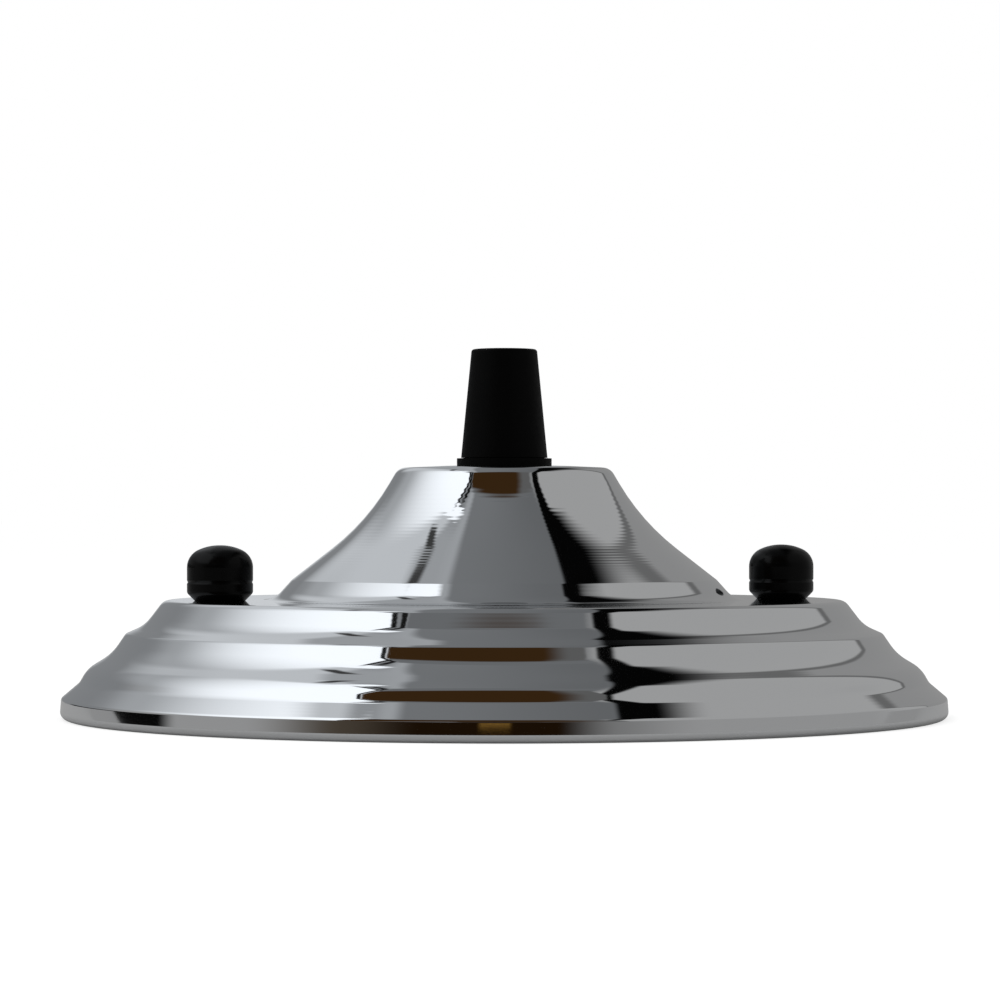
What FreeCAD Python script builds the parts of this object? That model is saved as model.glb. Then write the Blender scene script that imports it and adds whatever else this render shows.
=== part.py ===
"""Ceiling rose: a stepped, bell-topped steel canopy on a cranked fixing strap.

Millimetres. Z is the axis of the cord grip, z = 0 is the ceiling side of the rim,
and X runs through the two cap nuts. The canopy is drawn lying rim down.
"""

import FreeCAD
import Part
import math
import os

os.makedirs("parts", exist_ok=True)

V = FreeCAD.Vector
UP = V(0, 0, 1)

# Canopy: one pressed sheet, sized from the crown's hole out to the rim
SHEET = 0.7
CROWN_FLAT_MARGIN = 1.0
CROWN_BLEND_RADIUS = 30.0
CROWN_SLOPE_RUN = 5.6
CROWN_SLOPE_DROP = 0.25
SHOULDER_RADIUS = 1.75
HIGH_FLANK_RUN = 4.27
HIGH_FLANK_DROP = 7.25
FLANK_RADIUS = 31.5
LOW_FLANK_RUN = 10.2
LOW_FLANK_DROP = 7.95
FOOT_BREAK_RADIUS = 0.9
FOOT_RUN = 2.43
FOOT_DROP = 2.7
FOOT_FILLET_RADIUS = 3.5
LEDGE_WIDTH = 14.8

TOP_BULGE_RADIUS = 1.6
TOP_FACE_RUN = 2.58
TOP_FACE_DROP = 3.37
TOP_TROUGH_RADIUS = 5.0
TOP_TREAD_RUN = 2.55
TOP_TREAD_DROP = 1.12

MIDDLE_BULGE_RADIUS = 0.9
MIDDLE_FACE_RUN = 1.86
MIDDLE_FACE_DROP = 2.72
MIDDLE_TROUGH_RADIUS = 7.0
MIDDLE_TREAD_RUN = 3.27
MIDDLE_TREAD_DROP = 1.98

LOW_BULGE_RADIUS = 4.5
LOW_FACE_RUN = 1.06
LOW_FACE_DROP = 1.86
LOW_TROUGH_RADIUS = 2.0
LOW_TREAD_RUN = 2.43
LOW_TREAD_DROP = 2.05

RIM_CORNER_RADIUS = 0.6
RIM_WALL_RUN = 0.2
RIM_WALL_DROP = 2.75
RIM_ROLL_RADIUS = 1.0
RIM_FLAT = 0.4
RIM_LIP_HEIGHT = 1.7

# Studs that hold the canopy to the strap, and their nuts
STUD_RADIUS = 2.0
STUD_HOLE_CLEARANCE = 0.25
STUD_ENGAGEMENT = 5.35
STUD_POINT_CHAMFER = 0.4
STUD_HEAD_RADIUS = 3.6
STUD_HEAD_HEIGHT = 2.4
STUD_HEAD_ROUND = 0.8
STUD_HEAD_GAP = 0.8
STUD_NUT_FLATS = 7.0
STUD_NUT_HEIGHT = 3.2
THREAD_CLEARANCE = 0.05
RUNNING_CLEARANCE = 0.05
SLOT_WIDTH = 0.9
SLOT_DEPTH = 1.0
SLOT_OVERRUN = 1.1

# Domed cap nuts, each on a brass insert
INSERT_WALL = 0.75
INSERT_HEIGHT = 4.4
INSERT_SEAT_SETBACK = 0.05
CAP_SEAT_WALL = 0.55
CAP_CHAMFER_RUN = 1.03
CAP_CHAMFER_HEIGHT = 1.05
CAP_CHAMFER_ROUND = 0.6
CAP_RING_HEIGHT = 1.2
CAP_GROOVE_DEPTH = 0.12
CAP_GROOVE_HEIGHT = 0.5
CAP_BORE_ROOM = 0.85
CAP_ROOF = 1.25
CAP_DOME_SLOPE = math.radians(24.0)
CAP_CROWN_FLAT = 0.1
CAP_CROWN_ROUND = 6.6
CAP_SHOULDER_ROUND = 2.6

# Cord grip on the crown
GRIP_STEM_RADIUS = 5.0
GRIP_STEM_LENGTH = 8.0
GRIP_STEM_CHAMFER = 0.4
GRIP_HOLE_CLEARANCE = 0.15
GRIP_FLANGE_MARGIN = 0.57
GRIP_FLANGE_HEIGHT = 1.05
GRIP_NECK_WALL = 0.6
GRIP_NECK_HEIGHT = 5.5
CORD_BORE_RADIUS = 3.3
GRIP_SEAT_DEPTH = 1.2
GRIP_CAP_GAP = 0.1
GRIP_CAP_HEIGHT = 14.75
GRIP_CAP_WALL = 1.28
GRIP_CAP_TOP_WALL = 1.15
GRIP_CAP_TOP_ROUND = 0.4
COLLET_WALL = 0.6
COLLET_TAPER = 0.2
COLLET_LENGTH = 5.6
COLLET_SLOT_WIDTH = 0.8
COLLET_SLOT_COUNT = 4
COLLET_RING_HEIGHT = 1.4
GRIP_WASHER_RADIUS = 7.8
GRIP_WASHER_HEIGHT = 0.8
GRIP_WASHER_TEETH = 12
GRIP_WASHER_TOOTH_DEPTH = 0.7
GRIP_NUT_FLATS = 14.0
GRIP_NUT_HEIGHT = 3.0

# Fixing strap: flat in the middle, cranked up at both ends for the stud heads
STRAP_THICKNESS = 1.5
STRAP_WIDTH = 16.0
STRAP_END_MARGIN = 7.5
STRAP_END_ROUND = 5.33
CRANK_RUN = 2.7
CRANK_CLEARANCE = 0.65
CEILING_SLOT_PITCH = 50.8
CEILING_SLOT_LENGTH = 10.0
CEILING_SLOT_WIDTH = 4.5
EARTH_EAR_X = 27.0
EARTH_EAR_WIDTH = 9.0
EARTH_EAR_REACH = 9.5
EARTH_EAR_ROUND = 3.0
EARTH_SCREW_INSET = 4.5
EARTH_COLLAR_HEIGHT = 1.2
EARTH_COLLAR_WALL = 1.0
EARTH_SCREW_RADIUS = 2.0
EARTH_HEAD_RADIUS = 3.6
EARTH_HEAD_HEIGHT = 2.4
EARTH_HEAD_ROUND = 0.8
EARTH_WASHER_SIZE = 8.0
EARTH_WASHER_HEIGHT = 1.0
EARTH_WASHER_CLEARANCE = 0.2
SCREW_TIP_SETBACK = 0.2

# Three-way terminal block on the middle of the strap
WAY_COUNT = 3
BLOCK_FLOOR = 2.2
BLOCK_FLOOR_DEPTH = 12.75
HOUSING_WALL = 0.95
TUBE_FLOOR = 2.55
TUBE_RADIUS = 2.4
TUBE_BORE_RADIUS = 1.7
TUBE_END = 3.0
TUBE_RECESS = 1.5
TUBE_CLEARANCE = 0.05
CHIMNEY_SPACING = 8.0
CHIMNEY_WALL = 0.9
CHIMNEY_HEIGHT = 13.0
TERMINAL_SCREW_RADIUS = 1.45
TERMINAL_SCREW_LENGTH = 4.6
TERMINAL_SCREW_TIP_RISE = 0.2
TERMINAL_HEAD_RADIUS = 2.0
TERMINAL_HEAD_HEIGHT = 1.8
TERMINAL_HEAD_CLEARANCE = 0.2
BLOCK_SCREW_RADIUS = 1.5
BLOCK_SCREW_CLEARANCE = 0.2
BLOCK_HEAD_RADIUS = 2.6
BLOCK_HEAD_HEIGHT = 1.9

# How far a cutter reaches past what it cuts, and how nearly two lengths agree
PAST = 1.0
NEAR = 1e-6

# Share of a run that the fillets at its two ends may take
FILLET_SHARE = 0.98

# Canopy's places, from the crown out and from the rim up
CROWN_HOLE_RADIUS = GRIP_STEM_RADIUS + GRIP_HOLE_CLEARANCE
CROWN_FLAT_RADIUS = GRIP_WASHER_RADIUS + CROWN_FLAT_MARGIN
BELL_FOOT_RADIUS = (CROWN_FLAT_RADIUS + CROWN_SLOPE_RUN + HIGH_FLANK_RUN + LOW_FLANK_RUN
                    + FOOT_RUN)
LEDGE_Z = (RIM_WALL_DROP + LOW_TREAD_DROP + LOW_FACE_DROP + MIDDLE_TREAD_DROP
           + MIDDLE_FACE_DROP + TOP_TREAD_DROP + TOP_FACE_DROP)
CROWN_Z = LEDGE_Z + FOOT_DROP + LOW_FLANK_DROP + HIGH_FLANK_DROP + CROWN_SLOPE_DROP
UNDER_CROWN_Z = CROWN_Z - SHEET

# Studs and cap nuts, on the middle of the ledge
STUD_X = BELL_FOOT_RADIUS + LEDGE_WIDTH / 2
STUD_TOP_Z = LEDGE_Z + STUD_ENGAGEMENT
TAPPED_RADIUS = STUD_RADIUS + THREAD_CLEARANCE
INSERT_RADIUS = TAPPED_RADIUS + INSERT_WALL
CAP_SOCKET_RADIUS = INSERT_RADIUS + RUNNING_CLEARANCE
CAP_SEAT_RADIUS = CAP_SOCKET_RADIUS + CAP_SEAT_WALL
CAP_RADIUS = CAP_SEAT_RADIUS + CAP_CHAMFER_RUN
CAP_BORE_TOP_Z = STUD_TOP_Z + CAP_BORE_ROOM

# Cord grip, from its bore outwards and from the crown up
GRIP_SEAT_RADIUS = CORD_BORE_RADIUS + COLLET_WALL
GRIP_SOCKET_RADIUS = GRIP_SEAT_RADIUS + RUNNING_CLEARANCE
GRIP_NECK_RADIUS = GRIP_SOCKET_RADIUS + GRIP_NECK_WALL
GRIP_CAP_BASE_RADIUS = GRIP_NECK_RADIUS + THREAD_CLEARANCE + GRIP_CAP_WALL
GRIP_CAP_TOP_RADIUS = CORD_BORE_RADIUS + GRIP_CAP_TOP_WALL
GRIP_FLANGE_RADIUS = GRIP_CAP_BASE_RADIUS + GRIP_FLANGE_MARGIN
FLANGE_TOP_Z = CROWN_Z + GRIP_FLANGE_HEIGHT
NECK_TOP_Z = FLANGE_TOP_Z + GRIP_NECK_HEIGHT
GRIP_CAP_Z = FLANGE_TOP_Z + GRIP_CAP_GAP
GRIP_CAP_TOP_Z = GRIP_CAP_Z + GRIP_CAP_HEIGHT
COLLET_Z = NECK_TOP_Z - GRIP_SEAT_DEPTH
COLLET_TOP_Z = COLLET_Z + COLLET_LENGTH

# Strap: its ends stand clear of the stud heads
STRAP_TOP_Z = STRAP_THICKNESS
STRAP_END_Z = STUD_HEAD_GAP + STUD_HEAD_HEIGHT
STRAP_END_TOP_Z = STRAP_END_Z + STRAP_THICKNESS
CRANK_OUTER_X = STUD_X - STUD_HEAD_RADIUS - CRANK_CLEARANCE
CRANK_INNER_X = CRANK_OUTER_X - CRANK_RUN
EARTH_EAR_Y = -STRAP_WIDTH / 2 - EARTH_EAR_REACH
EARTH_SCREW_Y = EARTH_EAR_Y + EARTH_SCREW_INSET

# Terminal block, from its tubes outwards and from the strap up
TUBE_WAY_RADIUS = TUBE_RADIUS + TUBE_CLEARANCE
TUBE_LENGTH = CHIMNEY_SPACING + 2 * TUBE_END
TUBE_Z = STRAP_TOP_Z + TUBE_FLOOR + TUBE_WAY_RADIUS
BLOCK_DEPTH = TUBE_LENGTH + 2 * TUBE_RECESS
HOUSING_WIDTH = 2 * (TUBE_WAY_RADIUS + HOUSING_WALL)
HOUSING_TOP_Z = TUBE_Z + HOUSING_WIDTH / 2
CHIMNEY_TOP_Z = STRAP_TOP_Z + CHIMNEY_HEIGHT
HEAD_WAY_RADIUS = TERMINAL_HEAD_RADIUS + TERMINAL_HEAD_CLEARANCE
CHIMNEY_RADIUS = HEAD_WAY_RADIUS + CHIMNEY_WALL
WAY_PITCH = 2 * (TUBE_RADIUS + BLOCK_HEAD_RADIUS)
BLOCK_SEAT_Z = HOUSING_TOP_Z - BLOCK_HEAD_HEIGHT


def cylinder(radius, low, high, x=0.0, y=0.0):
    """Upright cylinder from height low to height high."""
    return Part.makeCylinder(radius, high - low, V(x, y, low), UP)


def box(size_x, size_y, low, high, x=0.0, y=0.0):
    """Upright box centred on x, y."""
    return Part.makeBox(size_x, size_y, high - low, V(x - size_x / 2, y - size_y / 2, low))


def hexagon(flats, low, high, x=0.0):
    """Upright hexagonal prism, flats apart across the Y direction."""
    corner = flats / math.sqrt(3)
    points = [V(x + corner * math.cos(math.radians(60 * k)),
                corner * math.sin(math.radians(60 * k)), low) for k in range(7)]
    return Part.Face(Part.makePolygon(points)).extrude(V(0, 0, high - low))


def unit(start, end):
    """Unit vector of the run from start to end, both (r, z)."""
    length = math.hypot(end[0] - start[0], end[1] - start[1])
    return (end[0] - start[0]) / length, (end[1] - start[1]) / length


def rounded_path(corners):
    """Edges of a path in the XZ plane through corners (r, z, fillet radius)."""
    edges = []
    last = V(corners[0][0], 0, corners[0][1])
    for before, here, after in zip(corners, corners[1:], corners[2:]):
        back = unit(here, before)
        ahead = unit(here, after)
        corner = V(here[0], 0, here[1])
        if here[2] > 0:
            half = math.acos(back[0] * ahead[0] + back[1] * ahead[1]) / 2
            tangent = here[2] / math.tan(half)
            middle = unit((0, 0), (back[0] + ahead[0], back[1] + ahead[1]))
            reach = here[2] / math.sin(half) - here[2]
            first = corner + V(back[0], 0, back[1]) * tangent
            second = corner + V(ahead[0], 0, ahead[1]) * tangent
            crest = corner + V(middle[0], 0, middle[1]) * reach
            edges.append(Part.makeLine(last, first))
            edges.append(Part.Arc(first, crest, second).toShape())
            last = second
        else:
            edges.append(Part.makeLine(last, corner))
            last = corner
    edges.append(Part.makeLine(last, V(corners[-1][0], 0, corners[-1][1])))
    return edges


def fitted(corners):
    """The same corners, each fillet drawn in where two would meet on a run between them."""
    runs = [unit(a, b) for a, b in zip(corners, corners[1:])]
    lengths = [math.hypot(b[0] - a[0], b[1] - a[1]) for a, b in zip(corners, corners[1:])]
    tangents = [0.0]
    for corner, before, after in zip(corners[1:], runs, runs[1:]):
        turn = math.acos(before[0] * after[0] + before[1] * after[1])
        tangents.append(corner[2] * math.tan(turn / 2))
    tangents.append(0.0)
    shares = [min(1.0, FILLET_SHARE * length / max(a + b, NEAR))
              for length, a, b in zip(lengths, tangents, tangents[1:])]
    inner = [(r, z, radius * min(before, after))
             for (r, z, radius), before, after in zip(corners[1:-1], shares, shares[1:])]
    return [corners[0]] + inner + [corners[-1]]


def right_offset(corners, distance):
    """The same path moved to its right, its fillets kept concentric."""
    runs = [unit(a, b) for a, b in zip(corners, corners[1:])]
    moved = [(corners[0][0] + runs[0][1] * distance, corners[0][1] - runs[0][0] * distance, 0)]
    for corner, before, after in zip(corners[1:], runs, runs[1:]):
        cross = before[0] * after[1] - before[1] * after[0]
        dot = before[0] * after[0] + before[1] * after[1]
        along = math.tan(math.atan2(cross, dot) / 2) * distance
        radius = corner[2] + math.copysign(distance, cross)
        moved.append((corner[0] + before[1] * distance + before[0] * along,
                      corner[1] - before[0] * distance + before[1] * along,
                      max(radius, 0)))
    last = corners[-1]
    run = runs[-1]
    moved.append((last[0] + run[1] * distance, last[1] - run[0] * distance, 0))
    return moved


def turned(edges):
    """Solid of revolution about Z of one closed run of edges in the XZ plane."""
    return Part.Face(Part.Wire(edges)).revolve(V(0, 0, 0), UP, 360)


def turned_profile(corners):
    """Solid of revolution of a closed outline of corners (r, z, fillet radius)."""
    edges = rounded_path(fitted(corners))
    edges.append(Part.makeLine(V(corners[-1][0], 0, corners[-1][1]),
                               V(corners[0][0], 0, corners[0][1])))
    return turned(edges)


def save(name, shape):
    """Writes one node as its own file."""
    shape.removeSplitter().exportStep("parts/" + name + ".step")


def canopy_corners():
    """Outer side of the pressed sheet, from the crown's hole to the rolled lip."""
    path = [(CROWN_HOLE_RADIUS, CROWN_Z, 0), (CROWN_FLAT_RADIUS, CROWN_Z, CROWN_BLEND_RADIUS)]
    legs = [
        (CROWN_SLOPE_RUN, CROWN_SLOPE_DROP, SHOULDER_RADIUS),
        (HIGH_FLANK_RUN, HIGH_FLANK_DROP, FLANK_RADIUS),
        (LOW_FLANK_RUN, LOW_FLANK_DROP, FOOT_BREAK_RADIUS),
        (FOOT_RUN, FOOT_DROP, FOOT_FILLET_RADIUS),
        (LEDGE_WIDTH, 0, TOP_BULGE_RADIUS),
        (TOP_FACE_RUN, TOP_FACE_DROP, TOP_TROUGH_RADIUS),
        (TOP_TREAD_RUN, TOP_TREAD_DROP, MIDDLE_BULGE_RADIUS),
        (MIDDLE_FACE_RUN, MIDDLE_FACE_DROP, MIDDLE_TROUGH_RADIUS),
        (MIDDLE_TREAD_RUN, MIDDLE_TREAD_DROP, LOW_BULGE_RADIUS),
        (LOW_FACE_RUN, LOW_FACE_DROP, LOW_TROUGH_RADIUS),
        (LOW_TREAD_RUN, LOW_TREAD_DROP, RIM_CORNER_RADIUS),
        (RIM_WALL_RUN, RIM_WALL_DROP, RIM_ROLL_RADIUS),
        (-RIM_FLAT - 2 * RIM_ROLL_RADIUS, 0, RIM_ROLL_RADIUS),
        (0, -RIM_LIP_HEIGHT, 0),
    ]
    for run, drop, radius in legs:
        path.append((path[-1][0] + run, path[-1][1] - drop, radius))
    return fitted(path)


def canopy():
    """Stepped canopy of even sheet, with a hole for the grip and two for the studs."""
    outer = canopy_corners()
    inner = right_offset(outer, SHEET)
    edges = rounded_path(outer)
    edges.append(Part.makeLine(V(outer[-1][0], 0, outer[-1][1]), V(inner[-1][0], 0, inner[-1][1])))
    edges.extend(rounded_path(inner))
    edges.append(Part.makeLine(V(outer[0][0], 0, outer[0][1]), V(inner[0][0], 0, inner[0][1])))
    sheet = turned(Part.__sortEdges__(edges))
    holes = [cylinder(STUD_RADIUS + STUD_HOLE_CLEARANCE, LEDGE_Z - SHEET - PAST, LEDGE_Z + PAST, x)
             for x in (-STUD_X, STUD_X)]
    return sheet.cut(Part.makeCompound(holes))


def strap():
    """Cranked steel strap with rounded ends, an earth ear, ceiling slots and tapped holes."""
    end_x = STUD_X + STRAP_END_MARGIN
    lower = [(-end_x, STRAP_END_Z, 0), (-CRANK_OUTER_X, STRAP_END_Z, 0), (-CRANK_INNER_X, 0, 0),
             (CRANK_INNER_X, 0, 0), (CRANK_OUTER_X, STRAP_END_Z, 0), (end_x, STRAP_END_Z, 0)]
    upper = right_offset(lower, -STRAP_THICKNESS)
    ring = [V(x, -STRAP_WIDTH / 2, z) for x, z, _ in lower + upper[::-1]]
    profile = Part.Face(Part.makePolygon(ring + ring[:1]))
    bent = profile.extrude(V(0, STRAP_WIDTH, 0))
    ear = box(EARTH_EAR_WIDTH, EARTH_EAR_REACH, 0, STRAP_TOP_Z, EARTH_EAR_X,
              EARTH_EAR_Y + EARTH_EAR_REACH / 2)
    ear_edges = [e for e in ear.Edges if abs(e.BoundBox.ZLength - STRAP_THICKNESS) < NEAR
                 and e.BoundBox.YMax < EARTH_EAR_Y + NEAR]
    ear = ear.makeFillet(EARTH_EAR_ROUND, ear_edges)
    high = STRAP_END_TOP_Z + PAST
    blank = box(2 * end_x, STRAP_WIDTH, -PAST, high)
    blank_edges = [e for e in blank.Edges if e.BoundBox.ZLength > STRAP_END_TOP_Z]
    blank = blank.makeFillet(STRAP_END_ROUND, blank_edges)
    collar = cylinder(EARTH_SCREW_RADIUS + EARTH_COLLAR_WALL, 0, STRAP_TOP_Z + EARTH_COLLAR_HEIGHT,
                      EARTH_EAR_X, EARTH_SCREW_Y)
    solid = bent.common(blank).fuse([ear, collar])
    cuts = [cylinder(TAPPED_RADIUS, 0, high, x) for x in (-STUD_X, STUD_X)]
    straight = CEILING_SLOT_LENGTH - CEILING_SLOT_WIDTH
    for x in (-CEILING_SLOT_PITCH / 2, CEILING_SLOT_PITCH / 2):
        cuts.append(box(straight, CEILING_SLOT_WIDTH, -PAST, high, x))
        cuts.append(cylinder(CEILING_SLOT_WIDTH / 2, -PAST, high, x - straight / 2))
        cuts.append(cylinder(CEILING_SLOT_WIDTH / 2, -PAST, high, x + straight / 2))
    cuts.extend(cylinder(BLOCK_SCREW_RADIUS + THREAD_CLEARANCE, -PAST, high, x)
                for x in block_screw_places())
    cuts.append(cylinder(EARTH_SCREW_RADIUS + THREAD_CLEARANCE, -PAST, high, EARTH_EAR_X,
                         EARTH_SCREW_Y))
    return solid.cut(cuts)


def driver_slot(radius, low, high, x=0.0, y=0.0):
    """Cutter for a straight screwdriver slot right across a head of the given radius."""
    return box(2 * SLOT_OVERRUN * radius, SLOT_WIDTH, low, high, x, y)


def stud_screw(x):
    """Pan-head machine screw, head towards the ceiling, that stands up into a cap nut."""
    head_z = STRAP_END_Z - STUD_HEAD_HEIGHT
    corners = [
        (0, head_z, 0),
        (STUD_HEAD_RADIUS, head_z, STUD_HEAD_ROUND),
        (STUD_HEAD_RADIUS, STRAP_END_Z, 0),
        (STUD_RADIUS, STRAP_END_Z, 0),
        (STUD_RADIUS, STUD_TOP_Z - STUD_POINT_CHAMFER, 0),
        (STUD_RADIUS - STUD_POINT_CHAMFER, STUD_TOP_Z, 0),
        (0, STUD_TOP_Z, 0),
    ]
    screw = turned_profile(corners)
    screw = screw.cut(driver_slot(STUD_HEAD_RADIUS, head_z - PAST, head_z + SLOT_DEPTH))
    screw.translate(V(x, 0, 0))
    return screw


def stud_nut(x):
    """Hexagon nut that locks the stud to the strap."""
    top = STRAP_END_TOP_Z + STUD_NUT_HEIGHT
    nut = hexagon(STUD_NUT_FLATS, STRAP_END_TOP_Z, top, x)
    return nut.cut(cylinder(TAPPED_RADIUS, STRAP_END_TOP_Z - PAST, top + PAST, x))


def cap_nut(x):
    """Domed black cap nut: undercut foot, ring, shallow groove, straight side and dome."""
    ring_z = LEDGE_Z + CAP_CHAMFER_HEIGHT
    groove_z = ring_z + CAP_RING_HEIGHT
    top_z = CAP_BORE_TOP_Z + CAP_ROOF
    crown_radius = CAP_CROWN_FLAT + CAP_CROWN_ROUND * math.tan(CAP_DOME_SLOPE / 2)
    side_z = top_z - (CAP_RADIUS - crown_radius) * math.tan(CAP_DOME_SLOPE)
    socket_top = LEDGE_Z + INSERT_SEAT_SETBACK + INSERT_HEIGHT + RUNNING_CLEARANCE
    corners = [
        (CAP_SOCKET_RADIUS, LEDGE_Z, 0),
        (CAP_SEAT_RADIUS, LEDGE_Z, 0),
        (CAP_RADIUS, ring_z, CAP_CHAMFER_ROUND),
        (CAP_RADIUS, groove_z, 0),
        (CAP_RADIUS - CAP_GROOVE_DEPTH, groove_z + CAP_GROOVE_HEIGHT / 2, 0),
        (CAP_RADIUS, groove_z + CAP_GROOVE_HEIGHT, 0),
        (CAP_RADIUS, side_z, CAP_SHOULDER_ROUND),
        (crown_radius, top_z, CAP_CROWN_ROUND),
        (0, top_z, 0),
        (0, CAP_BORE_TOP_Z, 0),
        (TAPPED_RADIUS, CAP_BORE_TOP_Z, 0),
        (TAPPED_RADIUS, socket_top, 0),
        (CAP_SOCKET_RADIUS, socket_top, 0),
    ]
    nut = turned_profile(corners)
    nut.translate(V(x, 0, 0))
    return nut


def cap_insert(x):
    """Threaded brass insert moulded into the foot of a cap nut."""
    low = LEDGE_Z + INSERT_SEAT_SETBACK
    high = low + INSERT_HEIGHT
    return cylinder(INSERT_RADIUS, low, high, x).cut(cylinder(TAPPED_RADIUS, low, high, x))


def grip_body():
    """Hollow threaded stem with a round flange and a short neck that the cap screws on to."""
    low = UNDER_CROWN_Z - GRIP_STEM_LENGTH
    corners = [
        (CORD_BORE_RADIUS, low, 0),
        (GRIP_STEM_RADIUS - GRIP_STEM_CHAMFER, low, 0),
        (GRIP_STEM_RADIUS, low + GRIP_STEM_CHAMFER, 0),
        (GRIP_STEM_RADIUS, CROWN_Z, 0),
        (GRIP_FLANGE_RADIUS, CROWN_Z, 0),
        (GRIP_FLANGE_RADIUS, FLANGE_TOP_Z, 0),
        (GRIP_NECK_RADIUS, FLANGE_TOP_Z, 0),
        (GRIP_NECK_RADIUS, NECK_TOP_Z, 0),
        (GRIP_SOCKET_RADIUS, NECK_TOP_Z, 0),
        (GRIP_SOCKET_RADIUS, COLLET_Z, 0),
        (CORD_BORE_RADIUS, COLLET_Z, 0),
    ]
    return turned_profile(corners)


def collet():
    """Clamping sleeve: a whole ring at the foot and slotted jaws above it."""
    corners = [
        (CORD_BORE_RADIUS, COLLET_Z, 0),
        (GRIP_SEAT_RADIUS, COLLET_Z, 0),
        (GRIP_SEAT_RADIUS, NECK_TOP_Z, 0),
        (GRIP_SEAT_RADIUS - COLLET_TAPER, COLLET_TOP_Z, 0),
        (CORD_BORE_RADIUS, COLLET_TOP_Z, 0),
    ]
    sleeve = turned_profile(corners)
    slots = []
    for k in range(COLLET_SLOT_COUNT):
        slot = box(GRIP_SEAT_RADIUS + PAST, COLLET_SLOT_WIDTH, COLLET_Z + COLLET_RING_HEIGHT,
                   COLLET_TOP_Z + PAST, (GRIP_SEAT_RADIUS + PAST) / 2)
        slot.rotate(V(0, 0, 0), UP, 360.0 * k / COLLET_SLOT_COUNT)
        slots.append(slot)
    return sleeve.cut(slots)


def grip_cap():
    """Tapered cap that screws down over the neck and closes the clamping sleeve."""
    cavity_radius = GRIP_NECK_RADIUS + THREAD_CLEARANCE
    sleeve_radius = GRIP_SOCKET_RADIUS + RUNNING_CLEARANCE
    sleeve_top = COLLET_TOP_Z + RUNNING_CLEARANCE
    step_z = NECK_TOP_Z + RUNNING_CLEARANCE
    corners = [
        (cavity_radius, GRIP_CAP_Z, 0),
        (GRIP_CAP_BASE_RADIUS, GRIP_CAP_Z, 0),
        (GRIP_CAP_TOP_RADIUS, GRIP_CAP_TOP_Z, GRIP_CAP_TOP_ROUND),
        (CORD_BORE_RADIUS, GRIP_CAP_TOP_Z, 0),
        (CORD_BORE_RADIUS, sleeve_top, 0),
        (sleeve_radius, sleeve_top, 0),
        (sleeve_radius, step_z, 0),
        (cavity_radius, step_z, 0),
    ]
    return turned_profile(corners)


def grip_washer():
    """Shakeproof washer with inward teeth, between the sheet and the nut."""
    low = UNDER_CROWN_Z - GRIP_WASHER_HEIGHT
    washer = cylinder(GRIP_WASHER_RADIUS, low, UNDER_CROWN_Z)
    washer = washer.cut(cylinder(CROWN_HOLE_RADIUS, low, UNDER_CROWN_Z))
    reach = CROWN_HOLE_RADIUS + GRIP_WASHER_TOOTH_DEPTH
    width = math.pi * CROWN_HOLE_RADIUS / GRIP_WASHER_TEETH
    notches = []
    for k in range(GRIP_WASHER_TEETH):
        notch = box(reach, width, low - PAST, UNDER_CROWN_Z + PAST, reach / 2)
        notch.rotate(V(0, 0, 0), UP, 360.0 * k / GRIP_WASHER_TEETH)
        notches.append(notch)
    return washer.cut(notches)


def grip_nut():
    """Thin hexagon nut that pulls the grip down on to the crown."""
    high = UNDER_CROWN_Z - GRIP_WASHER_HEIGHT
    low = high - GRIP_NUT_HEIGHT
    nut = hexagon(GRIP_NUT_FLATS, low, high)
    return nut.cut(cylinder(GRIP_STEM_RADIUS + THREAD_CLEARANCE, low, high))


def way_places():
    """X places of the ways of the terminal block."""
    return [(k - (WAY_COUNT - 1) / 2) * WAY_PITCH for k in range(WAY_COUNT)]


def block_screw_places():
    """X places of the fixing screws, midway between the ways."""
    ways = way_places()
    return [(a + b) / 2 for a, b in zip(ways, ways[1:])]


def along_y(radius, length, x):
    """Level cylinder along Y at the height of the brass tubes."""
    return Part.makeCylinder(radius, length, V(x, -length / 2, TUBE_Z), V(0, 1, 0))


def terminal_block():
    """Moulded strip: round-topped housings, screw chimneys and bosses on one floor."""
    length = (WAY_COUNT - 1) * WAY_PITCH + HOUSING_WIDTH
    solids = [box(length, BLOCK_FLOOR_DEPTH, STRAP_TOP_Z, STRAP_TOP_Z + BLOCK_FLOOR)]
    cuts = []
    for x in way_places():
        solids.append(box(HOUSING_WIDTH, BLOCK_DEPTH, STRAP_TOP_Z, TUBE_Z, x))
        solids.append(along_y(HOUSING_WIDTH / 2, BLOCK_DEPTH, x))
        cuts.append(along_y(TUBE_WAY_RADIUS, BLOCK_DEPTH + PAST, x))
        for y in (-CHIMNEY_SPACING / 2, CHIMNEY_SPACING / 2):
            solids.append(cylinder(CHIMNEY_RADIUS, STRAP_TOP_Z, CHIMNEY_TOP_Z, x, y))
            cuts.append(cylinder(HEAD_WAY_RADIUS, TUBE_Z, CHIMNEY_TOP_Z + PAST, x, y))
    for x in block_screw_places():
        solids.append(cylinder(BLOCK_HEAD_RADIUS, STRAP_TOP_Z, BLOCK_SEAT_Z, x))
        cuts.append(cylinder(BLOCK_SCREW_RADIUS + BLOCK_SCREW_CLEARANCE, STRAP_TOP_Z - PAST,
                             HOUSING_TOP_Z, x))
        cuts.append(cylinder(BLOCK_HEAD_RADIUS + BLOCK_SCREW_CLEARANCE, BLOCK_SEAT_Z,
                             CHIMNEY_TOP_Z + PAST, x))
    return solids[0].fuse(solids[1:]).cut(cuts)


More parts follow.
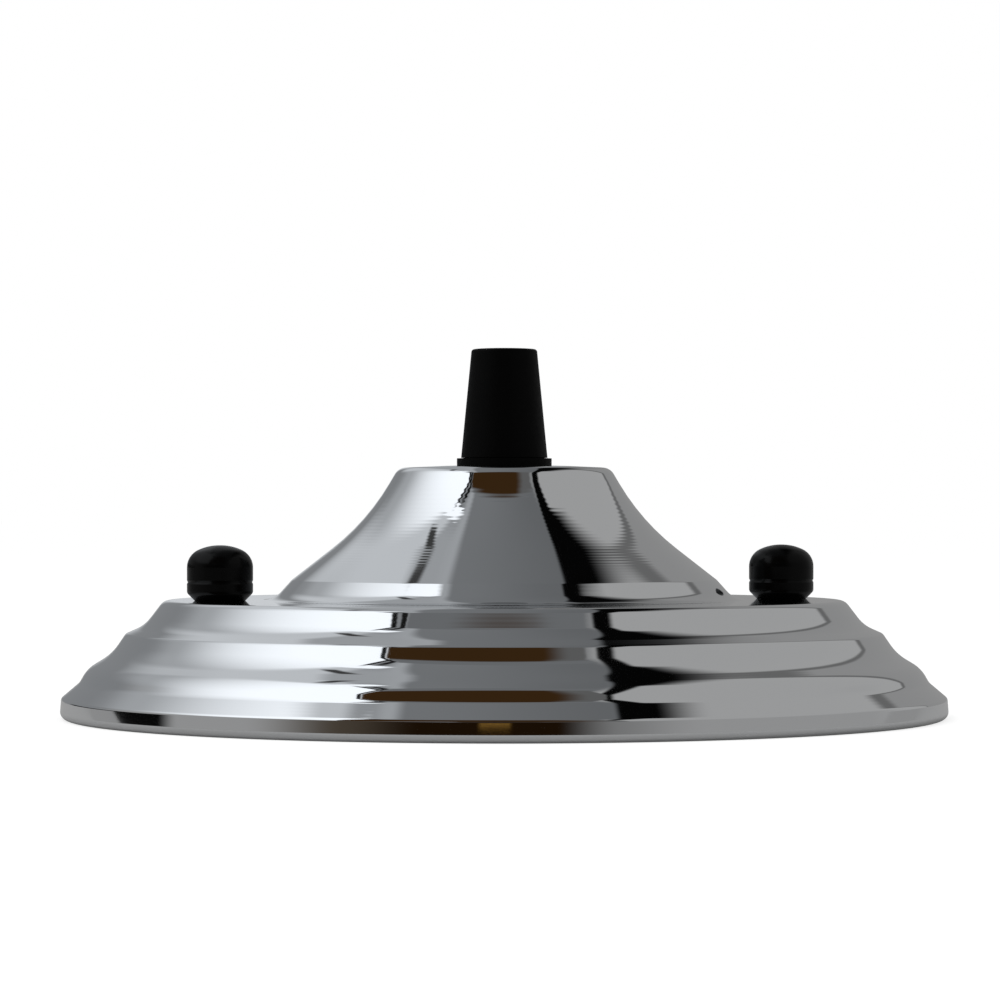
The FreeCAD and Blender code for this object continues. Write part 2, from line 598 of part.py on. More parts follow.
def terminal_tube(x):
    """Brass tube with two tapped holes for the clamping screws."""
    tube = along_y(TUBE_RADIUS, TUBE_LENGTH, x).cut(along_y(TUBE_BORE_RADIUS, TUBE_LENGTH, x))
    holes = [cylinder(TERMINAL_SCREW_RADIUS + THREAD_CLEARANCE, TUBE_Z,
                      TUBE_Z + TUBE_RADIUS + PAST, x, y)
             for y in (-CHIMNEY_SPACING / 2, CHIMNEY_SPACING / 2)]
    return tube.cut(holes)


def terminal_screw(x, y):
    """Cheese-head clamping screw in its chimney, its tip inside the tube."""
    low = TUBE_Z + TERMINAL_SCREW_TIP_RISE
    seat = low + TERMINAL_SCREW_LENGTH
    top = seat + TERMINAL_HEAD_HEIGHT
    shank = cylinder(TERMINAL_SCREW_RADIUS, low, seat, x, y)
    head = cylinder(TERMINAL_HEAD_RADIUS, seat, top, x, y)
    slot = driver_slot(TERMINAL_HEAD_RADIUS, top - SLOT_DEPTH, top + PAST, x, y)
    return shank.fuse(head).cut(slot)


def block_screw(x):
    """Screw that holds the terminal block to the strap."""
    shank = cylinder(BLOCK_SCREW_RADIUS, SCREW_TIP_SETBACK, BLOCK_SEAT_Z, x)
    head = cylinder(BLOCK_HEAD_RADIUS, BLOCK_SEAT_Z, HOUSING_TOP_Z, x)
    slot = driver_slot(BLOCK_HEAD_RADIUS, HOUSING_TOP_Z - SLOT_DEPTH, HOUSING_TOP_Z + PAST, x)
    return shank.fuse(head).cut(slot)


def earth_screw():
    """Pan-head earth screw in the plunged collar of the ear."""
    seat = STRAP_TOP_Z + EARTH_COLLAR_HEIGHT + EARTH_WASHER_HEIGHT
    top = seat + EARTH_HEAD_HEIGHT
    head = cylinder(EARTH_HEAD_RADIUS, seat, top, EARTH_EAR_X, EARTH_SCREW_Y)
    rim = [e for e in head.Edges if abs(e.BoundBox.ZMin - top) < NEAR]
    head = head.makeFillet(EARTH_HEAD_ROUND, rim)
    shank = cylinder(EARTH_SCREW_RADIUS, SCREW_TIP_SETBACK, seat, EARTH_EAR_X, EARTH_SCREW_Y)
    slot = driver_slot(EARTH_HEAD_RADIUS, top - SLOT_DEPTH, top + PAST, EARTH_EAR_X, EARTH_SCREW_Y)
    return shank.fuse(head).cut(slot)


def earth_washer():
    """Square clamping washer under the earth screw's head."""
    low = STRAP_TOP_Z + EARTH_COLLAR_HEIGHT
    high = low + EARTH_WASHER_HEIGHT
    plate = box(EARTH_WASHER_SIZE, EARTH_WASHER_SIZE, low, high, EARTH_EAR_X, EARTH_SCREW_Y)
    bore = EARTH_SCREW_RADIUS + EARTH_WASHER_CLEARANCE
    return plate.cut(cylinder(bore, low, high, EARTH_EAR_X, EARTH_SCREW_Y))


save("canopy", canopy())
save("fixing_strap", strap())
for side, x in (("left", -STUD_X), ("right", STUD_X)):
    save("stud_screw_" + side, stud_screw(x))
    save("stud_nut_" + side, stud_nut(x))
    save("cap_nut_" + side, cap_nut(x))
    save("cap_insert_" + side, cap_insert(x))

save("grip_body", grip_body())
save("grip_collet", collet())
save("grip_cap", grip_cap())
save("grip_washer", grip_washer())
save("grip_nut", grip_nut())

save("terminal_block", terminal_block())
for way, x in enumerate(way_places(), 1):
    save("terminal_tube_%d" % way, terminal_tube(x))
    save("terminal_screw_%d_front" % way, terminal_screw(x, -CHIMNEY_SPACING / 2))
    save("terminal_screw_%d_back" % way, terminal_screw(x, CHIMNEY_SPACING / 2))
for number, x in enumerate(block_screw_places(), 1):
    save("block_screw_%d" % number, block_screw(x))

save("earth_screw", earth_screw())
save("earth_washer", earth_washer())
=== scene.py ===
"""Ceiling rose: looks of the stepped chrome canopy, its black fittings and the parts inside it.

Metres. Z is the axis of the cord grip, z = 0 is the ceiling side of the rim, and X runs through
the two cap nuts. The rose lies rim down on a pale floor, below two cloth roofs whose patterns
show in the chrome.
"""

import math

import bpy
import numpy as np
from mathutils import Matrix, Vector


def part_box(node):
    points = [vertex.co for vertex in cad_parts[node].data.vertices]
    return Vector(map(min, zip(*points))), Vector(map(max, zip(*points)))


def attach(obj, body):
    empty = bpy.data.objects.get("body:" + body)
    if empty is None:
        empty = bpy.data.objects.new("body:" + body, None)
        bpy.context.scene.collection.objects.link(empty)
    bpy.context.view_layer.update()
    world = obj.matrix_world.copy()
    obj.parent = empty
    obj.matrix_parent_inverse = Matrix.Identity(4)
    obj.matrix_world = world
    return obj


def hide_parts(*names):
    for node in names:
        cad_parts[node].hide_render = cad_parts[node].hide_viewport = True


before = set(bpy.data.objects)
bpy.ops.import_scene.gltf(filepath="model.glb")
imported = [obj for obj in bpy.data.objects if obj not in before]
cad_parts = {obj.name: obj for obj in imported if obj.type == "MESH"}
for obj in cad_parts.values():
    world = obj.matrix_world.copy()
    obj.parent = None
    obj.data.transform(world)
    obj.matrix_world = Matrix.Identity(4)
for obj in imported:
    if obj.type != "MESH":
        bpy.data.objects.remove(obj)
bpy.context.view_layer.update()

MM = 0.001
MICRON = 0.000001
WELD = 1e-8

# Canopy sheet, millimetres: each leg of its profile is its run outwards, its drop, and the
# fillet at its end
SHEET = 0.7
CROWN_HOLE_RADIUS = 5.15
CROWN_FLAT_RUN = 3.65
CROWN_BLEND_RADIUS = 30.0
CROWN_SLOPE = (5.6, 0.25, 1.75)
HIGH_FLANK = (4.27, 7.25, 31.5)
LOW_FLANK = (10.2, 7.95, 0.9)
BELL_FOOT = (2.43, 2.7, 3.5)
LEDGE = (14.8, 0.0, 1.6)
TOP_FACE = (2.58, 3.37, 5.0)
TOP_TREAD = (2.55, 1.12, 0.9)
MIDDLE_FACE = (1.86, 2.72, 7.0)
MIDDLE_TREAD = (3.27, 1.98, 4.5)
LOW_FACE = (1.06, 1.86, 2.0)
LOW_TREAD = (2.43, 2.05, 0.6)
RIM_WALL = (0.2, 2.75, 1.0)
RIM_UNDER = (-2.4, 0.0, 1.0)
RIM_LIP = (0.0, -1.7, 0.0)
CANOPY_LEGS = (CROWN_SLOPE, HIGH_FLANK, LOW_FLANK, BELL_FOOT, LEDGE, TOP_FACE, TOP_TREAD,
               MIDDLE_FACE, MIDDLE_TREAD, LOW_FACE, LOW_TREAD, RIM_WALL, RIM_UNDER, RIM_LIP)
STUD_X = 38.7
STUD_HOLE_RADIUS = 2.25

# Fineness of the turned surfaces
COLUMNS = 360
ARC_STEP = math.radians(4.0)
INNER_ARC_STEP = 2 * ARC_STEP
LEAST_ARC_STEPS = 2
LEDGE_ROWS = 6
HOLE_SECTOR_COLUMNS = 6

# Tints
PLAIN = (1.0, 1.0, 1.0)
COOL = (0.965, 1.0, 1.04)
WARM = (1.0, 0.8, 0.6)
WOODEN = (1.0, 0.48, 0.16)
GOLD = (1.0, 0.55, 0.12)

# Chrome: bright outside and dull inside, where the sheet's normal looks down, apart from the
# rim. The haze is a range of noise that sets the roughness.
CHROME_TONE = (0.78, 0.79, 0.80)
CHROME_ROUGHNESS = 0.035
INSIDE_LEVEL = 0.5
INSIDE_ROUGHNESS = 0.27
OUTSIDE_NORMAL = (-0.1, -0.02)
RIM_RADIUS = (56.5 * MM, 57.5 * MM)
HAZE_SCALE = 45.0
HAZE_RANGE = (0.35, 0.75)
HAZE_ROUGHNESS = (0.03, 0.045)

# Rings that the spinning leaves: radii where they deepen, and their share of depth elsewhere
RING_PITCH = 0.45 * MM
RING_DEPTH = 1.4 * MICRON
FLANK_TOP = (14.0 * MM, 18.0 * MM)
FLANK_FOOT = (26.2 * MM, 25.5 * MM)
FAINT_RINGS = 0.1

# Other finishes: tone, roughness, noise per metre, depth of the grain, specular level, metallic
GRAIN_RANGE = (0.3, 0.7)
GRAIN_SHARES = (0.9, 1.1)
BLACK = (0.001, 0.001, 0.001)
FINISHES = {
    "gloss_black": (BLACK, 0.22, 900.0, 2 * MICRON, 0.1, 0.0),
    "satin_black": (BLACK, 0.5, 1500.0, 8 * MICRON, 0.05, 0.0),
    "zinc_plate": ((0.60, 0.62, 0.64), 0.32, 400.0, 4 * MICRON, 0.5, 1.0),
    "zinc_screw": ((0.66, 0.66, 0.65), 0.24, 700.0, 2 * MICRON, 0.5, 1.0),
    "brass": ((0.76, 0.56, 0.25), 0.25, 700.0, 2 * MICRON, 0.5, 1.0),
    "natural_nylon": ((0.82, 0.81, 0.76), 0.45, 600.0, 6 * MICRON, 0.5, 0.0),
}

# What the names of the pieces in each finish begin with
PIECES = {
    "gloss_black": ("cap_nut",),
    "satin_black": ("grip_body", "grip_collet", "grip_cap"),
    "zinc_plate": ("fixing_strap",),
    "zinc_screw": ("grip_nut", "grip_washer", "stud", "terminal_screw", "block_screw"),
    "brass": ("cap_insert", "terminal_tube", "earth"),
    "natural_nylon": ("terminal_block",),
}

# Camera: level, its bearing turned from -Y towards the left cap nut. Metres, but millimetres
# for lens and sensor, and shares of the frame for the shifts.
CAMERA_DISTANCE = 0.486
CAMERA_HEIGHT = 0.0271
CAMERA_BEARING = math.radians(9.5)
CAMERA_LENS = 128.6
CAMERA_SENSOR = 36.0
CAMERA_SHIFT_X = -0.0043
CAMERA_SHIFT_Y = 0.0169
CAMERA_CLIP = (0.01, 100.0)

# Stage: how far it reaches, heights of the roofs, levels of floor and sky for matt surfaces and
# in the chrome, and the lamp
STAGE_REACH = 12.0
NEAR_ROOF = 0.22
FAR_ROOF = 0.5
FLOOR_LEVEL = 0.3
MIRRORED_FLOOR = 0.05
SKY_LEVEL = 0.85
MIRRORED_SKY = 0.31
LAMP_POWER = 2.0
LAMP_WIDTH = 0.6
LAMP_PLACE = (-0.35, -0.25, 0.8)
LAMP_TURN = (math.radians(25), math.radians(-25), 0.0)

# The roofs' patterns, from here down to the room. Places are across and back of the axis as the
# camera sees them, in units of the near roof's height. A bearing is in radians from the front,
# to the right. An edge is where a soft step starts and ends, and levels or shares are the values
# at its two ends. A band is its middle, half width and softness. A line is its slope and start.
ROOF_EDGE = (-0.25, 0.3)
ROOF_LEVELS = (0.2, 0.15)
ROOF_BACK_EDGE = (0.6, 1.3)
ROOF_BACK_LEVEL = 0.3
RIBBON_EDGE = (-0.3, 0.15)
RIBBON_LEVELS = (0.25, 0.38)
PALE_RIBBON_SIDE = (-0.38, -0.44)
PALE_RIBBON_FRONT = (-0.2, 0.0)
PALE_RIBBON_LEVEL = 0.62
SEAM_LINE = (0.21, -0.285)
SEAM_EDGE = (-0.03, 0.03)
SEAM_BAND = (0.0, 0.004, 0.05)
SEAM_LEVEL = 0.4

# White wall on the left: its straight edge, the shelf that juts from it, where it starts to
# lean outwards and soften, and its levels, which run along a slant
WALL_SIDE = -0.462
SHELF_BAND = (-0.12, 0.05, 0.04)
SHELF_JUT = 0.13
WALL_LEAN_START = -0.2
WALL_LEAN = -0.28
WALL_SOFTNESS_LINE = (0.12, 0.015)
WALL_EDGE = (-1.0, 1.0)
WALL_SLANT = -0.15
WALL_NEAR_EDGE = (-0.2, 1.25)
WALL_NEAR_LEVELS = (1.25, 0.42)
WALL_FAR_EDGE = (1.2, 2.2)
WALL_FAR_SHARES = (1.0, 0.72)

# Window in the front of the near roof: its sides splay forwards, the left one beyond its start
WINDOW_LEFT = -0.4
WINDOW_LEFT_START = 0.4
WINDOW_LEFT_SPLAY = -0.85
WINDOW_RIGHT = 0.34
WINDOW_RIGHT_SPLAY = 0.6
WINDOW_SIDE_EDGE = (0.0, 0.02)
WINDOW_BACK_EDGE = (0.355, 0.385)
WINDOW_FRONT_EDGE = (2.6, 1.8)

# Dark uprights left of the window, and a short dark streak, which runs along a unit vector
# (across, back)
UPRIGHT_BAND = (-0.455, 0.007, 0.009)
UPRIGHT_EDGE = (0.1, 0.25)
JAMB_BAND = (-0.01, 0.01, 0.01)
JAMB_EDGE = (0.15, 0.3)
UPRIGHT_LEVEL = 0.01
STREAK_DIRECTION = (0.555, 0.832)
STREAK_OFFSET = 0.4577
STREAK_WIDTH_BAND = (0.0, 0.014, 0.035)
STREAK_LENGTH_BAND = (-0.07, 0.08, 0.06)
STREAK_LEVEL = 0.05

# Grey wall on the right and the dark beam across it
RIGHT_WALL_EDGE = (0.3, 0.42)
RIGHT_WALL_LEVEL = 0.4
RIGHT_WALL_BACK_LEVEL = 0.29
BEAM_LINE = (1.1, 0.02)
BEAM_EDGE = (-0.1, 0.1)
BEAM_BAND = (0.0, 0.03, 0.14)
BEAM_LEVEL = 0.15

# Black strip between the roof and the right wall
STRIP_LEVEL = 0.0015
STRIP_LEFT_LINE = (-0.2, 0.277)
STRIP_LEAST_LEFT = 0.19
STRIP_LEFT_EDGE = (-0.01, 0.012)
STRIP_RIGHT_LINE = (0.17, 0.375)
STRIP_SPREAD_EDGE = (-0.2, -0.02)
STRIP_SPREAD = 0.1
STRIP_SOFTNESS_LINE = (0.08, 0.02)
STRIP_BACK_SOFTNESS = 0.08
STRIP_RIGHT_EDGE = (-0.8, 0.8)
STRIP_FADE_EDGE = (0.6, 1.1)
STRIP_FADE_SHARES = (1.0, 0.3)

# What stands low all round: its distance, the bearings where it ends at the back, its level in
# front, and the layers over that by bearing
HORIZON_EDGE = (1.6, 3.0)
HORIZON_LEFT_END = (-3.05, -2.9)
HORIZON_RIGHT_END = (2.2, 1.8)
HORIZON_FRONT_LEVEL = 0.012
HORIZON_LAYERS = (((-0.35, -0.75), 0.07, WARM),
                  ((-0.7, -1.2), 0.34, PLAIN),
                  ((0.22, 0.5), 0.2, PLAIN),
                  ((0.4, 0.9), 0.34, PLAIN),
                  ((-1.9, -2.3), 0.24, COOL))
GLINT_BEARING_BAND = (-0.04, 0.05, 0.03)
GLINT_FRONT_BAND = (11.5, 0.05, 0.05)
GLINT_LEVEL = 0.5
SHADOW_BEARING_BAND = (-2.1, 0.4, 0.14)
SHADOW_EDGE = (8.5, 10.0)
SHADOW_LEVEL = 0.003

# Far roof and the room in front of it. The room's side wall starts at a ratio of across to
# front, and front counts as at least a small distance.
FAR_ROOF_LEVEL = 0.165
ROOM_EDGE = (0.81, 0.95)
ROOM_LEVEL = 0.042
ROOM_SIDE_EDGE = (0.3, 0.55)
ROOM_SIDE_LEVEL = 0.12
LEAST_FRONT = 0.05


def run_direction(start, end):
    """Unit vector of the run from start to end, both (r, z)."""
    run = np.array(end[:2]) - np.array(start[:2])
    return run / np.hypot(*run)


def left_of(direction):
    """The direction turned a quarter turn to the left."""
    return np.array((-direction[1], direction[0]))


def turn_between(inward, onward):
    """Angle from one unit vector to the next, positive to the left."""
    return math.atan2(inward[0] * onward[1] - inward[1] * onward[0], inward @ onward)


def rounded_rows(corners, step):
    """Rows (r, z) and normals along straight runs that tangent arcs join at their corners.

    A corner is (r, z, fillet radius). A run gives a row at each end, with the normal to the
    left of travel. An arc of radius R about C gives rows C + R (cos a, sin a) at even angles a.
    Rows that repeat a place with another normal make a sharp edge.
    """
    rows, normals = [], []
    last = np.array(corners[0][:2], float)
    for before, here, after in zip(corners, corners[1:], corners[2:]):
        inward = run_direction(before, here)
        onward = run_direction(here, after)
        corner = np.array(here[:2], float)
        turn = turn_between(inward, onward)
        tangent = here[2] * math.tan(abs(turn) / 2)
        rows.append((last, corner - inward * tangent))
        normals.append((left_of(inward),) * 2)
        last = corner + onward * tangent
        if here[2] > 0:
            side = math.copysign(1.0, turn)
            centre = corner - inward * tangent + left_of(inward) * side * here[2]
            spoke = -left_of(inward) * side
            start = math.atan2(spoke[1], spoke[0])
            count = max(LEAST_ARC_STEPS, math.ceil(abs(turn) / step)) + 1
            angles = start + np.linspace(0.0, turn, count)
            spokes = np.stack((np.cos(angles), np.sin(angles)), axis=1)
            rows.append(centre + here[2] * spokes)
            normals.append(-side * spokes)
    end = np.array(corners[-1][:2], float)
    rows.append((last, end))
    normals.append((left_of(run_direction(corners[-2], corners[-1])),) * 2)
    return np.concatenate(rows), np.concatenate(normals)


def offset_corners(corners, distance):
    """The same path moved to its right, its fillets kept concentric."""
    runs = [run_direction(a, b) for a, b in zip(corners, corners[1:])]
    moved = [(*(np.array(corners[0][:2]) - left_of(runs[0]) * distance), 0.0)]
    for corner, before, after in zip(corners[1:], runs, runs[1:]):
        turn = turn_between(before, after)
        place = np.array(corner[:2]) - left_of(before) * distance
        place = place + before * math.tan(turn / 2) * distance
        moved.append((*place, max(corner[2] + math.copysign(distance, turn), 0.0)))
    moved.append((*(np.array(corners[-1][:2]) - left_of(runs[-1]) * distance), 0.0))
    return moved


def turned_grid(rows, normals, angles):
    """Points and normals of rows (r, z) turned about the axis through the angles.

    The point is (r cos t, r sin t, z), and its normal turns with it.
    """
    cos, sin = np.cos(angles)[None, :], np.sin(angles)[None, :]
    flat = np.ones_like(cos)
    return tuple(np.stack((pairs[:, :1] * cos, pairs[:, :1] * sin, pairs[:, 1:] * flat), axis=2)
                 for pairs in (rows, normals))


def grid_triangles(grids):
    """Two triangles for each square of each grid, as numbers of the grids' points in a row."""
    triangles = []
    first = 0
    for grid in grids:
        index = first + np.arange(grid.shape[0] * grid.shape[1]).reshape(grid.shape[:2])
        a, b, c, d = index[:-1, :-1], index[1:, :-1], index[1:, 1:], index[:-1, 1:]
        triangles.append(np.stack((a, b, c), axis=2).reshape(-1, 3))
        triangles.append(np.stack((a, c, d), axis=2).reshape(-1, 3))
        first += index.size
    return np.concatenate(triangles)


def placed(name, mesh, material):
    """An object of a mesh and its material, at the origin of the scene."""
    mesh.materials.append(material)
    made = bpy.data.objects.new(name, mesh)
    bpy.context.scene.collection.objects.link(made)
    return made


def surface(name, patches, material):
    """One mesh of grids of points and normals, welded where their points meet."""
    points = np.concatenate([grid.reshape(-1, 3) for grid, _ in patches])
    facing = np.concatenate([grid.reshape(-1, 3) for _, grid in patches])
    triangles = grid_triangles([grid for grid, _ in patches])
    places = np.round(points * MM / WELD).astype(np.int64)
    places, shared = np.unique(places, axis=0, return_inverse=True)
    welded = shared.reshape(-1)[triangles]
    whole = (welded != np.roll(welded, 1, axis=1)).all(axis=1)
    triangles, welded = triangles[whole], welded[whole]
    mesh = bpy.data.meshes.new(name)
    mesh.vertices.add(len(places))
    mesh.vertices.foreach_set("co", (places * WELD).astype(np.float32).ravel())
    mesh.loops.add(welded.size)
    mesh.loops.foreach_set("vertex_index", welded.astype(np.int32).ravel())
    mesh.polygons.add(len(welded))
    mesh.polygons.foreach_set("loop_start", np.arange(0, welded.size, 3, dtype=np.int32))
    mesh.update(calc_edges=True)
    mesh.polygons.foreach_set("use_smooth", np.ones(len(welded), dtype=bool))
    mesh.normals_split_custom_set(facing[triangles].reshape(-1, 3))
    return placed(name, mesh, material)


def canopy_corners():
    """Outer side of the sheet, from the crown's hole down to the rolled lip."""
    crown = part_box("canopy")[1].z / MM
    path = [(CROWN_HOLE_RADIUS, crown, 0.0)]
    path.append((CROWN_HOLE_RADIUS + CROWN_FLAT_RUN, crown, CROWN_BLEND_RADIUS))
    for run, drop, radius in CANOPY_LEGS:
        path.append((path[-1][0] + run, path[-1][1] - drop, radius))
    return path


def full_turn():
    """Angles of the columns of a turned surface, all the way round."""
    return np.linspace(0.0, 2 * math.pi, COLUMNS + 1)


def hole_ring(edge, centre_x):
    """The point of the stud's hole nearest to each point of the edge round it."""
    away = edge[:, :2] - (centre_x, 0.0)
    away /= np.linalg.norm(away, axis=1, keepdims=True)
    return np.column_stack((away * STUD_HOLE_RADIUS + (centre_x, 0.0), edge[:, 2]))


def flat_normals(points, upward):
    """Normals straight up, or down, for a grid of points."""
    facing = np.zeros_like(points)
    facing[..., 2] = upward
    return facing


def ledge_face(inner_radius, outer_radius, height, upward):
    """One side of the flat ledge: a ring of squares with a round hole in each of two sectors.

    Returns its patches, and the rings of points round its two holes. A sector's edge runs along
    its outer arc, its far side, its inner arc and its near side; straight lines join it to
    the hole.
    """
    angles = full_turn()
    radii = np.linspace(inner_radius, outer_radius, LEDGE_ROWS + 1)
    half = COLUMNS // 2
    reach = HOLE_SECTOR_COLUMNS
    patches, rings = [], []
    for first, last in ((reach, half - reach), (half + reach, COLUMNS - reach)):
        turned = angles[first:last + 1]
        grid = np.stack((radii[:, None] * np.cos(turned), radii[:, None] * np.sin(turned),
                         np.full((len(radii), len(turned)), height)), axis=2)
        patches.append(grid if upward > 0 else grid[::-1])
    for middle, centre_x in ((half, -STUD_X), (0, STUD_X)):
        sector = angles[np.arange(middle - reach, middle + reach + 1) % COLUMNS]
        spin = np.concatenate((sector, np.full(LEDGE_ROWS - 1, sector[-1]), sector[::-1],
                               np.full(LEDGE_ROWS, sector[0])))
        reach_out = np.concatenate((np.full(len(sector), radii[-1]), radii[-2:0:-1],
                                    np.full(len(sector), radii[0]), radii[1:]))
        edge = np.column_stack((reach_out * np.cos(spin), reach_out * np.sin(spin),
                                np.full(len(spin), height)))
        ring = hole_ring(edge, centre_x)
        grid = np.stack((edge, ring))
        patches.append(grid[::-1] if upward > 0 else grid)
        rings.append(ring)
    return [(grid, flat_normals(grid, upward)) for grid in patches], rings


def hole_wall(ring):
    """Wall of a stud's hole, from the upper ring down through the sheet."""
    grid = np.stack((ring, ring - (0.0, 0.0, SHEET)))
    centre = ring[:-1, :2].mean(axis=0)
    inward = np.zeros_like(grid)
    inward[..., :2] = (centre - grid[..., :2]) / STUD_HOLE_RADIUS
    return grid[::-1], inward


def build_canopy():
    """Pressed sheet: its outside, rolled lip and inside, turned about the axis, and two holes."""
    outer = canopy_corners()
    outer_rows, outer_normals = rounded_rows(outer, ARC_STEP)
    inner_rows, inner_normals = rounded_rows(offset_corners(outer, SHEET), INNER_ARC_STEP)
    inner_rows, inner_normals = inner_rows[::-1], -inner_normals[::-1]
    lip = np.stack((outer_rows[-1], inner_rows[0]))
    bore = np.stack((inner_rows[-1], outer_rows[0]))
    angles = full_turn()
    patches = [turned_grid(ends, np.stack((left_of(run_direction(*ends)),) * 2), angles)
               for ends in (lip, bore)]
    rings = {}
    for rows, normals, upward in ((outer_rows, outer_normals, 1.0),
                                  (inner_rows, inner_normals, -1.0)):
        level = np.abs(np.diff(rows[:, 1])) < WELD
        wide = np.abs(np.diff(rows[:, 0])) > LEDGE[0] / 2
        split = int(np.flatnonzero(level & wide)[0]) + 1
        patches.append(turned_grid(rows[:split], normals[:split], angles))
        patches.append(turned_grid(rows[split:], normals[split:], angles))
        near, far = sorted((rows[split - 1, 0], rows[split, 0]))
        faces, rings[upward] = ledge_face(near, far, rows[split, 1], upward)
        patches.extend(faces)
    patches.extend(hole_wall(ring) for ring in rings[1.0])
    sheet = surface("canopy_sheet", patches, polished_chrome())
    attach(sheet, "rose")
    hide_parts("canopy")


class Field:
    """A number or colour that varies over a surface; sums on it make nodes in its tree."""

    def __init__(self, socket):
        self.socket = socket
        self.tree = socket.id_data

    def __add__(self, other):
        return maths("ADD", self, other)

    def __sub__(self, other):
        return maths("SUBTRACT", self, other)

    def __mul__(self, other):
        return maths("MULTIPLY", self, other)

    def __truediv__(self, other):
        return maths("DIVIDE", self, other)

    def __neg__(self):
        return maths("MULTIPLY", self, -1.0)


def node(tree, kind, **values):
    """A node of a tree, with values for its own settings."""
    made = tree.nodes.new(kind)
    for key, value in values.items():
        setattr(made, key, value)
    return made


def feed(value, socket):
    """Sets a socket to a number or a colour, or links a field to it."""
    if isinstance(value, Field):
        value.tree.links.new(value.socket, socket)
    else:
        socket.default_value = value


def filled(made, values):
    """Feeds a node's first inputs, and gives its first output as a field."""
    for value, socket in zip(values, made.inputs):
        feed(value, socket)
    return Field(made.outputs[0])


def maths(operation, field, *others):
    """Result of one sum on a field and other fields or numbers."""
    return filled(node(field.tree, "ShaderNodeMath", operation=operation), (field, *others))


def line(value, slope_and_start):
    """The field start + slope * value."""
    return maths("MULTIPLY_ADD", value, *slope_and_start)


def excess(value, limit):
    """How far value is above the limit, and zero below it."""
    return maths("MAXIMUM", value - limit, 0.0)


def ramp(value, edge, levels=(0.0, 1.0)):
    """A smooth step from the first level to the second, as value crosses a soft edge."""
    made = node(value.tree, "ShaderNodeMapRange", interpolation_type="SMOOTHSTEP")
    return filled(made, (value, *edge, *levels))


def band(value, shape):
    """One within the half width of the middle, and zero outside, with soft sides."""
    middle, half_width, softness = shape
    away = maths("ABSOLUTE", value - middle)
    return ramp(away, (half_width, half_width + softness), (1.0, 0.0))


def blend(factor, below, above):
    """The colour below, covered by the colour above as the factor goes to one."""
    made = node(factor.tree, "ShaderNodeMix", data_type="RGBA", clamp_factor=True)
    feed(factor, made.inputs["Factor"])
    feed(below, made.inputs["A"])
    feed(above, made.inputs["B"])
    return Field(made.outputs["Result"])


def colour(level, tint=PLAIN):
    """A tint at a grey level, which is a number or a field."""
    shares = [level * share for share in tint]
    if isinstance(level, Field):
        return filled(node(level.tree, "ShaderNodeCombineColor"), shares)
    return (*shares, 1.0)


def split_axes(vector):
    """X, Y and Z of a vector field."""
    made = node(vector.tree, "ShaderNodeSeparateXYZ")
    feed(vector, made.inputs[0])
    return [Field(output) for output in made.outputs]


def coordinates(tree, kind):
    """The object's own coordinates or normals."""
    return Field(node(tree, "ShaderNodeTexCoord").outputs[kind])


def noise(place, scale):
    """Fractal noise on the given coordinates."""
    made = node(place.tree, "ShaderNodeTexNoise")
    feed(place, made.inputs["Vector"])
    feed(scale, made.inputs["Scale"])
    return Field(made.outputs["Fac"])


def relief(shader, height, depth):
    """Feeds a height into the shader's normal, its full range depth metres deep."""
    bump = node(height.tree, "ShaderNodeBump")
    feed(depth, bump.inputs["Distance"])
    feed(height, bump.inputs["Height"])
    feed(Field(bump.outputs["Normal"]), shader.inputs["Normal"])


def rays(tree):
    """One for a ray from the camera, and one for a ray that comes off metal or through glass."""
    path = node(tree, "ShaderNodeLightPath").outputs
    mirrored = maths("MAXIMUM", Field(path["Is Glossy Ray"]), Field(path["Is Transmission Ray"]))
    return Field(path["Is Camera Ray"]), mirrored


def new_material(name):
    """A material with its shader, and the tree that holds them."""
    material = bpy.data.materials.new(name)
    material.use_nodes = True
    return material, material.node_tree, material.node_tree.nodes["Principled BSDF"]


def polished_chrome():
    """Mirror chrome over a spun sheet, with faint rings from the spinning and a thin haze.

    The rings are height = depth * sin(2 pi r / pitch), deepest on the bell's flank. The inner
    face, whose normals look down, has a dull plating.
    """
    material, tree, shader = new_material("polished_chrome")
    place = coordinates(tree, "Object")
    x, y, _ = split_axes(place)
    radius = maths("SQRT", x * x + y * y)
    upward = split_axes(coordinates(tree, "Normal"))[2]
    outside = maths("MAXIMUM", ramp(upward, OUTSIDE_NORMAL), ramp(radius, RIM_RADIUS))
    chrome = colour(1.0, CHROME_TONE)
    feed(1.0, shader.inputs["Metallic"])
    feed(chrome, shader.inputs["Base Color"])
    feed(blend(outside, colour(INSIDE_LEVEL), chrome), shader.inputs["Base Color"])
    haze = ramp(noise(place, HAZE_SCALE), HAZE_RANGE, HAZE_ROUGHNESS)
    feed(CHROME_ROUGHNESS, shader.inputs["Roughness"])
    feed(haze + line(outside, (-INSIDE_ROUGHNESS, INSIDE_ROUGHNESS)), shader.inputs["Roughness"])
    rings = maths("SINE", radius * (2 * math.pi / RING_PITCH))
    flank = ramp(radius, FLANK_TOP) * ramp(radius, FLANK_FOOT)
    relief(shader, rings * line(flank, (1.0 - FAINT_RINGS, FAINT_RINGS)), RING_DEPTH)
    return material


def grained(name, tone, roughness, grain_scale, grain_depth, gloss, metallic):
    """Moulded plastic or plated metal: one tone, with a fine grain in its gloss and relief."""
    material, tree, shader = new_material(name)
    feed(colour(1.0, tone), shader.inputs["Base Color"])
    feed(metallic, shader.inputs["Metallic"])
    feed(gloss, shader.inputs["Specular IOR Level"])
    grain = noise(coordinates(tree, "Object"), grain_scale)
    feed(roughness, shader.inputs["Roughness"])
    feed(ramp(grain, GRAIN_RANGE, [roughness * share for share in GRAIN_SHARES]),
         shader.inputs["Roughness"])
    relief(shader, grain, grain_depth)
    return material


